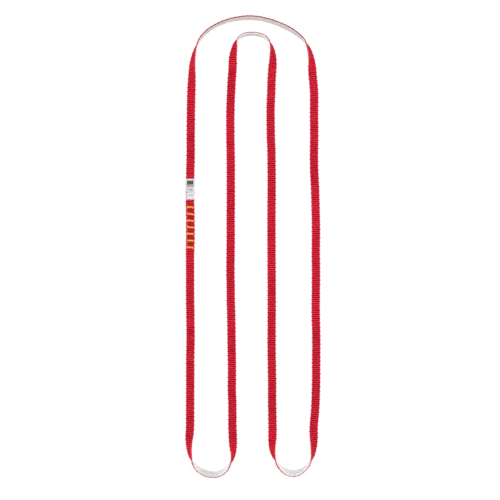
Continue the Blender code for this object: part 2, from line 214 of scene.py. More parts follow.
class Route:
    """The closed route: a smooth spline for its places, and a roll that its points' own rolls hold."""

    ease = math.radians(6.5)  # how much flatter the strip lies than its route where it turns up
    ease_end = math.radians(95.0)
    ease_lean = 1.5
    step = 0.00001  # how far a heading looks ahead and back

    def __init__(self, points: list[Point]) -> None:
        """Fit the route's points.

        Args:
            points: Places in millimetres, each with its roll in degrees.
        """
        self.values = np.array([*points, points[0]]) * (MILLIMETRE, MILLIMETRE, math.pi / 180)
        steps = np.diff(self.values, axis=0)
        self.spans = np.linalg.norm(steps[:, :2], axis=1)
        self.knots = np.concatenate([[0.0], np.cumsum(self.spans)])
        self.length = self.knots[-1]
        rates = steps / self.spans[:, None]
        slopes = np.column_stack([self.smooth_slopes(rates[:, :2]), self.held_slopes(rates[:, 2])])
        self.slopes = np.concatenate([slopes, slopes[:1]])

    def smooth_slopes(self, rates: Array) -> Array:
        """Find the slopes that make a closed spline smooth at every point.

        Args:
            rates: How fast the places change from each point to the next.

        Returns:
            The slopes at the points.
        """
        before, index = np.roll(self.spans, 1), np.arange(len(rates))
        matrix = np.diag(2 * (before + self.spans))
        matrix[index, index - 1] = self.spans
        matrix[index - 1, index] = np.roll(before, 1)
        sums = self.spans[:, None] * np.roll(rates, 1, axis=0) + before[:, None] * rates
        return np.linalg.solve(matrix, 3 * sums)

    def held_slopes(self, rates: Array) -> Array:
        """Find slopes that keep the roll from swinging past its own values.

        Args:
            rates: How fast the roll changes from each point to the next.

        Returns:
            The slopes at the points.
        """
        before, early = np.roll(self.spans, 1), np.roll(rates, 1)
        one_way = np.maximum(early * rates, 0.0)
        pull = (2 * self.spans + before) * rates + (self.spans + 2 * before) * early
        return 3 * (self.spans + before) * one_way / np.where(one_way > 0, pull, 1.0)

    def course(self, along: Array) -> Array:
        """Follow the route.

        Args:
            along: Distances along the route, once round or more.

        Returns:
            The points of its middle line, with x, y and the roll on the last axis.
        """
        point = np.interp(np.mod(along, self.length), self.knots, np.arange(len(self.knots)))
        start = np.minimum(point.astype(int), len(self.spans) - 1)
        share = (point - start)[..., None]
        line = self.values[start] + (self.values[start + 1] - self.values[start]) * smooth_rise(share)
        bow = share * (1 - share) ** 2 * self.slopes[start] - share**2 * (1 - share) * self.slopes[start + 1]
        return line + bow * self.spans[start][..., None]

    def heading(self, along: Array) -> Array:
        """Return the way that the route runs at distances along it, as level unit vectors."""
        way = (self.course(along + self.step) - self.course(along - self.step))[..., :2]
        return way / np.linalg.norm(way, axis=-1, keepdims=True)

    def roll(self, along: Array) -> Array:
        """Return the strip's roll.

        Args:
            along: Distances along the route.

        Returns:
            A roll in radians for each distance.
        """
        rolls = self.course(along)[..., 2]
        turned = np.minimum(np.abs(rolls) / self.ease_end, 1.0)
        return rolls - np.sign(rolls) * self.ease * np.sin(np.pi * turned**self.ease_lean)


@dataclass
class Strip:
    """The strip of webbing as it lies: turns strip coordinates into points."""

    route: Route
    width: float = 0.010
    thickness: float = 0.002
    selvedge_depth: float = 0.0009
    selvedge_faces: int = 4
    lower_lift: float = 0.00055  # heights of the two layers of the lap over the table
    upper_lift: float = 0.00285
    lap_length: float = 0.07605
    label_start: float = 0.07065
    label_end: float = 0.09665
    ramp_length: float = 0.020
    ramp_guard: float = 0.003
    edge_proud: float = 0.0009  # how far the weft's turns stand out of the plain strip's edges
    edge_height: float = 0.0013  # how far they stand over its middle plane on the red face
    shifts: Profile = Profile(SHIFTS)
    turns: Profile = Profile(TURNS)

    @property
    def length(self) -> float:
        """Return the whole length of the strip, with the lap."""
        return self.route.length + self.lap_length

    @property
    def lap_top(self) -> float:
        """Return the height of the red face where two layers lie on each other."""
        return self.upper_lift + self.thickness

    def wander(self, along: Array, seed: int, step: float) -> Array:
        """Return smooth random values from -1 to 1, drawn once a step, at distances along the strip."""
        values = np.random.default_rng(seed).uniform(-1, 1, math.ceil(self.length / step) + 3)
        return eased(values, along / step)

    def outline(self) -> Array:
        """Work out the section's outline, out to the weft's turns.

        Returns:
            Its points, with across and out on the last axis.
        """
        turn = np.pi / 2 - np.pi * np.arange(self.selvedge_faces + 1) / self.selvedge_faces
        across = self.width / 2 + self.edge_proud - self.selvedge_depth * (1 - np.cos(turn))
        reach = np.where(turn > 0, self.edge_height, self.thickness / 2)
        half = joined(across, reach * np.sin(turn))
        return np.concatenate([half, half * (-1, 1)])

    def lift(self, along: Array) -> Array:
        """Return how high the strip lies.

        Args:
            along: Distances along the strip.

        Returns:
            The heights of its lowest line over the table.
        """
        came_down = smooth_rise((along - self.label_end) / self.ramp_length)
        level_start = self.route.length - self.ramp_guard
        went_up = smooth_rise((along - level_start + self.ramp_length) / self.ramp_length)
        return self.lower_lift * (1 - came_down) + self.upper_lift * went_up

    def points(self, along: Array, across: Array, out: Array) -> Array:
        """Return points of the rolled strip.

        Args:
            along: Distances along the strip from the tail.
            across: Distances to the right of its middle line.
            out: Distances out of its middle plane, towards the red face.

        Returns:
            The points, with x, y and z on the last axis.
        """
        along, across, out = np.broadcast_arrays(along, across, out)
        roll = self.route.roll(along) + np.radians(self.turns.at(np.mod(along, self.route.length)))
        sine, cosine = np.sin(roll), np.cos(roll)
        outline = self.outline()
        lowest = (sine[..., None] * outline[:, 0] + cosine[..., None] * outline[:, 1]).min(axis=-1)
        height = across * sine + out * cosine + self.lift(along) - lowest
        return self.upright_points(along, across * cosine - out * sine, height)

    def upright_points(self, along: Array, aside: Array, height: Array) -> Array:
        """Return points over the table.

        Args:
            along: Distances along the strip from the tail.
            aside: Level distances to the right of its middle line.
            height: Heights over the table.

        Returns:
            The points, with x, y and z on the last axis.
        """
        along, aside, height = np.broadcast_arrays(along, aside, height)
        aside = aside + MILLIMETRE * self.shifts.at(np.mod(along, self.route.length))
        heading = self.route.heading(along)
        right = joined(heading[..., 1], -heading[..., 0])
        level = self.route.course(along)[..., :2] + right * aside[..., None]
        return np.concatenate([level, height[..., None]], axis=-1)


@dataclass
class Rings:
    """Rings of points for a set of like tubes: an array of tubes, rings, sides and x, y, z."""

    points: Array
    lie: Array  # what the finish reads at each point, in the same order
    stretches: int = 1  # rows that each tube is cut into on its bake map
    ring_closed: bool = False  # the last ring joins the first one

    def faces(self) -> list[tuple[int, ...]]:
        """Join the rings by faces, and cap open tubes.

        Returns:
            The faces as point numbers: first those between the rings, then the caps.
        """
        shape = self.points.shape[:3]
        corners = np.arange(math.prod(shape)).reshape(shape)
        near = corners if self.ring_closed else corners[:, :-1]
        far = np.roll(corners, -1, axis=1)[:, : near.shape[1]]
        quads = np.stack([near, np.roll(near, -1, axis=2), np.roll(far, -1, axis=2), far], axis=-1)
        caps = [] if self.ring_closed else [corners[:, 0, ::-1], corners[:, -1]]
        return [tuple(face) for faces in (quads.reshape(-1, 4), *caps) for face in faces.tolist()]

    def bake_places(self) -> Array:
        """Lay the faces out on the bake map, with a cell for each stretch of each tube.

        Returns:
            A place on the map for each corner of each face, in the order of the faces.
        """
        tubes, rings, sides = self.points.shape[:3]
        steps = rings if self.ring_closed else rings - 1
        in_stretch = math.ceil(steps / self.stretches)
        cells = tubes * self.stretches
        columns = max(1, round(math.sqrt(cells))) if tubes > 1 else 1
        rows = math.ceil(cells / columns)

        def on_map(cell: Array, u: Array, v: Array) -> Array:
            """Return places on the map from a cell's number and the shares across it and up it."""
            return joined((cell % columns + u) / columns, (cell // columns + v) / rows).reshape(-1, 2)

        # Round a face, the last two corners are a step further on and the middle two a side.
        tube, step, side, corner = np.ogrid[:tubes, :steps, :sides, :4]
        inside = 1 - 2 * MAP_MARGIN
        u = MAP_MARGIN + inside * (step % in_stretch + (corner > 1)) / in_stretch
        v = MAP_MARGIN + inside * (side + (corner % 3 > 0)) / sides
        places = [on_map(tube * self.stretches + step // in_stretch, u, v)]
        if not self.ring_closed:
            turn = circle(sides)
            reach = MAP_MARGIN / 3
            first = np.arange(tubes)[:, None] * self.stretches
            last = first + self.stretches - 1
            ends = ((first, turn[::-1], MAP_MARGIN / 2), (last, turn, 1 - MAP_MARGIN / 2))
            for cell, turned, aside in ends:
                places.append(on_map(cell, aside + reach * np.cos(turned), 0.5 + reach * np.sin(turned)))
        return np.concatenate(places)


class Board:
    """The nodes of a material or of the world, with short calls for those that the finishes use."""

    def __init__(self, holder: bpy.types.Material | bpy.types.World) -> None:
        """Open the nodes of a material or of the world."""
        holder.use_nodes = True
        self.tree = holder.node_tree

    def feed(self, target: Socket, value: object) -> None:
        """Give a socket another socket's value, or a value of its own.

        Args:
            target: The socket.
            value: Another socket, a number or a colour. None leaves the socket as it is.
        """
        if isinstance(value, Socket):
            self.tree.links.new(value, target)
        elif value is not None:
            target.default_value = (*value, 1.0) if isinstance(value, tuple) else value

    def set(self, socket: str, value: object) -> None:
        """Give a socket of the material's main shader its value."""
        self.feed(self.tree.nodes["Principled BSDF"].inputs[socket], value)

    def add(self, kind: str, *values: object, **settings: str) -> bpy.types.Node:
        """Add a node.

        Args:
            kind: Its kind, without the words that every shader node's kind starts with.
            values: What its first sockets get.
            settings: Its settings by their names.

        Returns:
            The node.
        """
        node = self.tree.nodes.new("ShaderNode" + kind)
        for name, setting in settings.items():
            setattr(node, name, setting)
        for socket, value in zip(node.inputs, values):
            self.feed(socket, value)
        return node

    def lie(self) -> list[Socket]:
        """Return the three values of the piece's lie attribute."""
        read = self.add("Attribute", attribute_name=LIE)
        return list(self.add("SeparateXYZ", read.outputs["Vector"]).outputs)

    def math(self, operation: str, *values: object) -> Socket:
        """Return the result of a sum or another operation on one to three values."""
        return self.add("Math", *values, operation=operation).outputs[0]

    def span(self, value: object, before: Range, after: Range = (0.0, 1.0)) -> Socket:
        """Return a value brought smoothly from one range to another, and held at its ends."""
        return self.add("MapRange", value, *before, *after, interpolation_type="SMOOTHSTEP").outputs[0]

    def noise(self, *lumps: float, detail: float = 2.0) -> Socket:
        """Return noise over the lie attribute, with so many lumps to a unit of its first values."""
        place = self.add("CombineXYZ", *(self.math("MULTIPLY", *pair) for pair in zip(self.lie(), lumps)))
        return self.add("TexNoise", place.outputs[0], 0.0, 1.0, detail).outputs["Fac"]

    def mix(self, share: object, first: object, second: object, way: str = "MIX") -> Socket:
        """Return a mix of two colours, with a share of the second one."""
        values = (share, *MIX_NUMBERS, first, second)
        return self.add("Mix", *values, data_type="RGBA", blend_type=way).outputs[2]

    def shade(self, colour: object, tone: Socket) -> Socket:
        """Return a colour made darker or lighter by a tone, where 1 keeps it."""
        return self.mix(1.0, colour, self.add("CombineColor", tone, tone, tone).outputs[0], "MULTIPLY")

    def bump(self, height: Socket, depth: float) -> None:
        """Raise and sink the surface's shading by a height times a depth in metres."""
        node = self.add("Bump", 1.0, depth, BUMP_FILTER, height)
        self.set("Normal", node.outputs[0])

    def show(self, lit: Socket, seen: Socket) -> None:
        """Split what a surface or the world shows from how it lights the sling.

        Args:
            lit: The shader that the sling's light comes from.
            seen: The shader for rays from the lens, in a reflection or through glass.
        """
        rays = self.add("LightPath").outputs
        bright = self.math("MAXIMUM", rays["Is Camera Ray"], rays["Is Glossy Ray"])
        bright = self.math("MAXIMUM", bright, rays["Is Transmission Ray"])
        shown = self.add("MixShader", bright, lit, seen)
        self.feed(self.tree.get_output_node("ALL").inputs["Surface"], shown.outputs[0])


@dataclass(frozen=True)
class Finish:
    """A finish: its name, and the record's material slot that it belongs to."""

    name: str
    slot: str

    def material(self) -> bpy.types.Material:
        """Make a material of this finish.

        Returns:
            The new material, of the finish's name.
        """
        material = bpy.data.materials.new(self.name)
        self.dress(Board(material))
        return material

    def dress(self, board: Board) -> None:
        """Lay the finish's nodes on a board."""
        raise NotImplementedError


@dataclass(frozen=True)
class WovenFinish(Finish):
    """Woven yarn: its lie is along, across and the relief from groove to crest."""

    # The groove's colour is the yarn's own darkened by painted shade; the crests' colours are the yarn's own,
    # with a painted sheen highlight on the red cloth.
    groove: Colour
    crest: Colour
    crest_other: Colour  # the crests' colour in patches
    peek: Colour  # the other cloth's yarn where it shows in the grooves
    peek_share: float
    edge: Colour
    rim: Range = (0.0041, 0.0048)  # where the grooves take on the edge's colour
    heights: Range = (0.15, 0.85)  # the reliefs of the grooves' and the crests' colours
    tones: Range = (0.90, 1.07)
    tone_noise: Range = (0.34, 0.66)
    tone_shares: tuple[float, float, float] = (0.30, 0.25, 0.45)  # for rows, filaments and patches
    roughness: Range = (0.6, 0.8)
    shine: float = 0.12
    sheen: float = 0.10
    sheen_roughness: float = 0.5
    yarns_per_metre: float = 2300.0
    picks_per_metre: float = 376.0
    filaments_per_metre: float = 9000.0
    patches_per_metre: float = 18.0
    hues_per_metre: float = 90.0
    hue_noise: Range = (0.36, 0.64)
    spot_noise: Range = (0.5, 0.6)
    # Painted shade in the gaps between the yarns.
    yarn_gap_shade: float = 0.84  # how much darker the gaps between the yarns are
    gap_width: float = 0.2
    yarn_depth: float = 0.00008
    yarn_round: float = 0.45
    filament_depth: float = 0.4
    # Whether painted shade darkens the pale face over the arches and bights.
    arc_shaded: bool = False

    def dress(self, board: Board) -> None:
        """Lay the cloth's colours, row by row and yarn by yarn, with painted shade in the grooves and between
        the yarns.

        Args:
            board: The material's nodes.
        """
        along, across, relief = board.lie()
        height = board.span(relief, self.heights)
        low = board.math("SUBTRACT", 1.0, height)
        hues = board.span(board.noise(self.hues_per_metre), self.hue_noise)
        # The relief mixes the groove's painted shade into the crests' colours.
        colour = board.mix(height, self.groove, board.mix(hues, self.crest, self.crest_other))
        spots = board.span(board.noise(self.picks_per_metre, self.yarns_per_metre), self.spot_noise)
        peek = board.math("MULTIPLY", board.math("MULTIPLY", low, spots), self.peek_share)
        colour = board.mix(peek, colour, self.peek)
        rim = board.span(board.math("ABSOLUTE", across), self.rim)
        colour = board.mix(board.math("MULTIPLY", rim, low), colour, self.edge)
        filaments = board.noise(self.picks_per_metre, self.filaments_per_metre, detail=3.0)
        rows = board.noise(self.picks_per_metre)
        patches = board.noise(self.patches_per_metre)
        tone = 0.0
        for noise, share in zip((rows, filaments, patches), self.tone_shares):
            tone = board.math("MULTIPLY_ADD", noise, share, tone)
        colour = board.shade(colour, board.span(tone, self.tone_noise, self.tones))
        # Painted shade darkens the gaps between the yarns.
        yarns = board.math("PINGPONG", board.math("MULTIPLY", across, self.yarns_per_metre), 0.5)
        colour = board.shade(colour, board.span(yarns, (0.0, self.gap_width), (self.yarn_gap_shade, 1.0)))
        # Painted shade over the arches and bights.
        for arc_shade in ARC_SHADES if self.arc_shaded else ():
            full = board.math("MULTIPLY", board.span(along, arc_shade.rise), board.span(along, arc_shade.fall, FALLING))
            colour = board.mix(full, colour, arc_shade.tint, "MULTIPLY")
        board.set("Base Color", colour)
        board.set("Roughness", board.span(filaments, FIBRES, self.roughness))
        board.set("Sheen Weight", self.sheen)
        board.set("Sheen Roughness", self.sheen_roughness)
        board.set("Sheen Tint", self.crest)
        board.set("Specular IOR Level", self.shine)
        rounded = board.span(yarns, (0.0, self.yarn_round))
        board.bump(board.math("MULTIPLY_ADD", filaments, self.filament_depth, rounded), self.yarn_depth)


@dataclass(frozen=True)
class ThreadFinish(Finish):
    """Twisted thread: its lie is along the thread, the share of a turn round it and a tone, which carries
    painted shade and random tone.
    """

    shadow: Colour
    light: Colour
    twists_per_metre: float = 900.0
    shine: float = 0.2
    plies: float = 2.0
    ply_height: float = 1.4
    lights: Range = (0.1, 0.75)  # the heights of the shadow's and the light's colours
    fibres_per_metre: float = 4000.0
    fibres_round: float = 12.0
    fibre_height: float = 0.35
    roughness: Range = (0.38, 0.6)
    twist_depth: float = 0.00005

    def dress(self, board: Board) -> None:
        """Lay the plies and fibres that wind round the thread.

        Args:
            board: The material's nodes.
        """
        along, turn, tone = board.lie()
        wound = board.math("MULTIPLY", turn, self.plies)
        strand = board.math("PINGPONG", board.math("MULTIPLY_ADD", along, self.twists_per_metre, wound), 0.5)
        fibres = board.noise(self.fibres_per_metre, self.fibres_round, detail=3.0)
        height = board.math("MULTIPLY", strand, self.ply_height)
        height = board.math("MULTIPLY_ADD", fibres, self.fibre_height, height)
        colour = board.mix(board.span(height, self.lights), self.shadow, self.light)
        board.set("Base Color", board.shade(colour, tone))
        board.set("Roughness", board.span(fibres, FIBRES, self.roughness))
        board.set("Specular IOR Level", self.shine)
        board.bump(height, self.twist_depth)


@dataclass(frozen=True)
class FilmFinish(Finish):
    """Clear film, hazy at its sides: its lie is the share along, metres across and the height."""

    haze: Colour = linear("F4F3F3")
    # Painted reflection of the red webbing on the film's hazy sides.
    webbing_reflection: Colour = linear("F4C2C8")  # what the red webbing lends the hazy sides
    sides: Range = (0.0040, 0.0043)  # how far from the middle the clear window ends
    ends: Range = (0.455, 0.495)  # the same along the sleeve, as shares of its length
    clear: float = 0.012
    cloudy: float = 0.72
    lips: float = 1.15  # how much cloudier the two ends are
    creases: Range = (9.0, 900.0)
    crease_haze: Range = (0.85, 1.15)
    crease_depth: float = 0.00006
    roughness: Range = (0.22, 0.42)
    reflection_lumps: float = 5.0
    reflection_noise: Range = (0.38, 0.66)
    reflection_shares: Range = (0.1, 1.0)
    middle: Range = (-0.001, 0.001)
    # The painted reflection is weaker on the right side.
    paler_side: float = 0.35  # how much of the blush reaches the right side

    def dress(self, board: Board) -> None:
        """Lay the clear window, the haze round it and the painted reflection of the red webbing in that.

        Args:
            board: The material's nodes.
        """
        along, across, _ = board.lie()
        creases = board.noise(*self.creases, detail=3.0)
        sides = board.span(board.math("ABSOLUTE", across), self.sides)
        from_middle = board.math("ABSOLUTE", board.math("SUBTRACT", along, 0.5))
        cloud = board.math("MAXIMUM", sides, board.span(from_middle, self.ends, (0.0, self.lips)))
        alpha = board.math("MULTIPLY_ADD", cloud, self.cloudy - self.clear, self.clear)
        board.set("Alpha", board.math("MULTIPLY", alpha, board.span(creases, FIBRES, self.crease_haze)))
        # Painted reflection of the red webbing on the hazy sides, in lumps, weaker on the right.
        lumps = board.span(board.noise(self.reflection_lumps), self.reflection_noise, self.reflection_shares)
        reflected = board.math("MULTIPLY", sides, lumps)
        reflected = board.math("MULTIPLY", reflected, board.span(across, self.middle, (1.0, self.paler_side)))
        board.set("Base Color", board.mix(reflected, self.haze, self.webbing_reflection))
        board.set("Roughness", board.span(creases, FIBRES, self.roughness))
        board.bump(creases, self.crease_depth)


@dataclass(frozen=True)
class PrintFinish(Finish):
    """White label stock with plain printed blocks: its lie is the shares along and across."""

    paper: Colour = linear("E6E7E6")
    ink: Colour = linear("262425")
    grey: Colour = linear("858585")
    soft: Colour = linear("B0B0B0")
    faint: Colour = linear("BEBFBF")
    rim: float = 0.008  # how soft a block's edge is
    wear: Range = (40.0, 16.0)
    wear_depth: float = 0.00002
    paper_wear: tuple[Range, Range] = ((0.4, 0.75), (0.0, 0.25))
    print_wear: tuple[Range, Range] = ((0.25, 0.5), (0.93, 1.0))
    roughness: Range = (0.4, 0.6)

    @property
    def blocks(self) -> list[tuple[Range, Range, Colour]]:
        """List the printed blocks, which say nothing.

        Returns:
            For each block its shares along and across the slip, and its colour.
        """
        wide, middle, right = (0.03, 0.985), (0.12, 0.88), (0.20, 0.88)
        return [
            ((0.735, 0.935), wide, self.ink),
            ((0.610, 0.725), wide, self.grey),
            ((0.655, 0.685), middle, self.faint),
            ((0.430, 0.545), (0.16, 0.86), self.soft),
            ((0.345, 0.375), right, self.faint),
            ((0.160, 0.235), right, self.faint),
        ]

    def bar(self, board: Board, value: Socket, ends: Range) -> Socket:
        """Return 1 where a share lies between two ends, with a soft rim, and 0 elsewhere."""
        rise, fall = ((end - self.rim, end + self.rim) for end in ends)
        return board.math("MULTIPLY", board.span(value, rise), board.span(value, fall, FALLING))

    def dress(self, board: Board) -> None:
        """Lay the paper and print the blocks.

        Args:
            board: The material's nodes.
        """
        up, aside, _ = board.lie()
        wear = board.noise(*self.wear, detail=4.0)
        colour = board.mix(board.span(wear, *self.paper_wear), self.paper, self.faint)
        solid = board.span(wear, *self.print_wear)
        for along, across, ink in self.blocks:
            block = board.math("MULTIPLY", self.bar(board, up, along), self.bar(board, aside, across))
            colour = board.mix(board.math("MULTIPLY", block, solid), colour, ink)
        board.set("Base Color", colour)
        board.set("Roughness", board.span(wear, FIBRES, self.roughness))
        board.bump(wear, self.wear_depth)


@dataclass(frozen=True)
class FloorFinish(Finish):
    """A floor that the lens sees as white, with the sling's faint shadow on it."""

    colour: Colour = (0.80, 0.80, 0.80)
    roughness: float = 0.9
    glow: float = 0.90
    shadow_share: float = 0.14
    plain: Range = (0.38, 0.60)  # how far from the middle the shadow fades

    def dress(self, board: Board) -> None:
        """Lay the lit floor, and over it the one that the lens sees.

        Args:
            board: The material's nodes.
        """
        board.set("Base Color", self.colour)
        board.set("Roughness", self.roughness)
        board.set("Specular IOR Level", 0.0)
        shadowed = board.add("BsdfDiffuse", (self.shadow_share,) * 3)
        near = board.add("AddShader", board.add("Emission", WHITE, self.glow).outputs[0], shadowed.outputs[0])
        away = board.add("VectorMath", board.add("TexCoord").outputs["Object"], operation="LENGTH")
        plain = board.span(away.outputs["Value"], self.plain)
        seen = board.add("MixShader", plain, near.outputs[0], board.add("Emission", WHITE, 1.0).outputs[0])
        board.show(board.tree.nodes["Principled BSDF"].outputs[0], seen.outputs[0])


RED_CLOTH = WovenFinish(
    name="red_cloth",
    slot="red_webbing",
    # The groove is red darkened by painted shade; the crests are red with a painted sheen highlight.
    groove=linear("8A0010"),
    crest=linear("FC3446"),
    crest_other=linear("F42648"),
    peek=linear("B98A86"),
    peek_share=0.02,
    edge=linear("B81C32"),
    heights=(0.32, 0.88),
    tones=(0.87, 1.16),
    shine=0.05,
    sheen=0.03,
    yarn_gap_shade=0.90,
    yarn_depth=0.00012,
)
PALE_CLOTH = WovenFinish(
    name="pale_cloth",
    slot="red_webbing",
    # The groove is the pale yarn a little darkened by painted shade.
    groove=linear("F2F0EF"),
    crest=linear("F5F3F3"),
    crest_other=linear("F5F3F3"),
    peek=linear("DDB0B4"),
    peek_share=0.10,
    edge=linear("F2EEEE"),
    tones=(0.98, 1.02),
    yarn_gap_shade=0.97,
    arc_shaded=True,
)
RED_WEFT = ThreadFinish("red_weft", "red_webbing", linear("D0203C"), linear("FA3E5C"), 700.0)
RED_EDGE = ThreadFinish("red_edge", "red_webbing", linear("B4142C"), linear("DE3050"), 500.0)
PALE_EDGE = ThreadFinish("pale_edge", "red_webbing", linear("EEE9E9"), linear("F7F5F4"), 500.0)
YELLOW_THREAD = ThreadFinish("yellow_thread", "yellow_thread", linear("F09838"), linear("FFCC5C"), shine=0.12)
CARRIED_THREAD = replace(  # the same thread, sunk in the red cloth and blushed by it
    YELLOW_THREAD, name="carried_thread", shadow=linear("DC5C2C"), light=linear("FA9C50")
)
CLEAR_FILM = FilmFinish("clear_film", "clear_film")
LABEL_PRINT = PrintFinish("label_print", "white_label")
WHITE_FLOOR = FloorFinish("white_floor", slot="")  # scenery, which belongs to no slot


def put(name: str, data: bpy.types.ID) -> Piece:
    """Put a mesh, a lamp or a camera into the scene.

    Args:
        name: Name of the object.
        data: What it shows.

    Returns:
        The object.
    """
    piece = bpy.data.objects.new(name, data)
    bpy.context.scene.collection.objects.link(piece)
    return piece


def add_piece(name: str, rings: Rings, finish: Finish) -> Piece:
    """Make a piece of the sling from its rings.

    Args:
        name: Name of the piece.
        rings: Its points and what the finish reads at them.
        finish: Its finish.

    Returns:
        The object, riding on the part's one body.
    """
    mesh = bpy.data.meshes.new(name)
    mesh.from_pydata(rings.points.reshape(-1, 3).tolist(), [], rings.faces())
    lie = mesh.attributes.new(LIE, "FLOAT_VECTOR", "POINT")
    lie.data.foreach_set("vector", rings.lie.reshape(-1).astype(np.float32))
    bake_map = mesh.uv_layers.new(name="OFBake")
    bake_map.data.foreach_set("uv", rings.bake_places().reshape(-1).astype(np.float32))
    mesh.shade_smooth()
    mesh.materials.append(finish.material())
    piece = put(name, mesh)
    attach(piece, "root")
    log.info("%s: %d faces", name, len(mesh.polygons))
    return piece


def swept_rings(line: Array, radius: float) -> Array:
    """Return rings of a thread round a line, kept as level as the line allows.

    Args:
        line: Points of the line.
        radius: The thread's radius.

    Returns:
        An array of rings, sides and x, y, z.
    """
    heading = np.gradient(line, axis=0)
    heading /= np.linalg.norm(heading, axis=1, keepdims=True)
    level = np.cross(heading, (0.0, 0.0, 1.0))
    lengths = np.linalg.norm(level, axis=1)
    for index in range(1, len(level)):
        if lengths[index] < STEEP or level[index] @ level[index - 1] < 0:
            level[index] = level[index - 1] - heading[index] * (level[index - 1] @ heading[index])
        level[index] /= np.linalg.norm(level[index])
    level[0] /= np.linalg.norm(level[0])
    over = np.cross(level, heading)
    turn = circle(THREAD_SIDES)[:, None]
    return line[:, None] + radius * (level[:, None] * np.cos(turn) + over[:, None] * np.sin(turn))


def distances(line: Array) -> Array:
    """Return how far along a line its points are."""
    return np.linalg.norm(np.diff(line, axis=0, prepend=line[:1]), axis=1).cumsum()


def lay_threads(strip: Strip, threads: list[tuple[Array, float, float, Array]]) -> Rings:
    """Lay sewing threads on the strip.

    Args:
        strip: The strip.
        threads: For each thread, its line as across, along and height, its radius, its tone and how
            far along its twist each point of the line is.

    Returns:
        The rings of all threads, which have to be of one length.
    """
    rings = np.stack([swept_rings(line, radius) for line, radius, tone, run in threads])
    turn = np.arange(THREAD_SIDES) / THREAD_SIDES
    lie = np.stack([joined(run[:, None], turn, tone) for line, radius, tone, run in threads])
    return Rings(strip.upright_points(rings[..., 1], rings[..., 0], rings[..., 2]), lie)


@dataclass
class Weave:
    """How the picks follow each other along the strip, for every piece that lies in them."""

    strip: Strip
    pitch: float = 0.002657
    steps_per_pick: int = 4
    unevenness: float = 0.012
    fine_middle: float = 2.4196  # where the tail under it bunches the picks
    fine_reach: float = 0.009
    fineness: float = 0.30
    slant: float = math.radians(1.6)
    fine_slant: float = math.radians(-9.0)
    twist_slant: float = 0.0014  # lean of the picks for each turn of roll along the strip
    twist_reach: float = 0.004
    bow: float = 0.00025
    end_reach: float = 0.010
    sample: float = 0.0005
    pace_seed: int = 11
    pace_step: float = 0.030  # how far apart the random paces are drawn along the strip
    slant_seed: int = 23
    slant_step: float = 0.022
    bow_seed: int = 31
    bow_step: float = 0.016
    count: int = field(init=False)
    places: Array = field(init=False)

    def __post_init__(self) -> None:
        """Work out where each pick lies."""
        along = np.arange(0.0, self.strip.length + self.sample, self.sample)
        pace = 1 + self.unevenness * self.strip.wander(along, self.pace_seed, self.pace_step)
        pace += self.fineness * self.bunched(along)
        picks = np.concatenate([[0.0], np.cumsum(pace[:-1] * np.diff(along))]) / self.pitch
        self.count = int(picks[-1])
        steps = self.steps_per_pick * self.count + 1
        self.places = np.interp(np.linspace(0, self.count, steps), picks, along)
        self.places *= self.strip.length / self.places[-1]

    def bunched(self, along: Array) -> Array:
        """Return how much of the bunching reaches each distance."""
        return np.exp(-(((along - self.fine_middle) / self.fine_reach) ** 2))

    def place(self, picks: Array) -> Array:
        """Return the distances along the strip of numbered picks, which may be broken numbers."""
        return np.interp(picks, np.arange(len(self.places)) / self.steps_per_pick, self.places)

    def lean(self, along: Array, across: Array) -> Array:
        """Return how far the picks lean forward.

        Args:
            along: Distances along the strip.
            across: Distances to the right of its middle line.

        Returns:
            How much further along the strip the picks lie there.
        """
        strip, reach = self.strip, self.twist_reach
        twist = (strip.route.roll(along + reach) - strip.route.roll(along - reach)) / (2 * reach)
        turn = self.slant * strip.wander(along, self.slant_seed, self.slant_step)
        turn = turn + self.fine_slant * self.bunched(along) + self.twist_slant * twist
        bow = self.bow * strip.wander(along, self.bow_seed, self.bow_step)
        near_end = np.minimum(along, strip.length - along) / self.end_reach
        return (across * np.tan(turn) + bow * (across / strip.width * 2) ** 2) * smooth_rise(near_end)


@dataclass(frozen=True)
class TackPlace:
    """Where a bar tack lies: its number, its middle along the strip and its slant."""

    number: int
    along: float
    slant: float


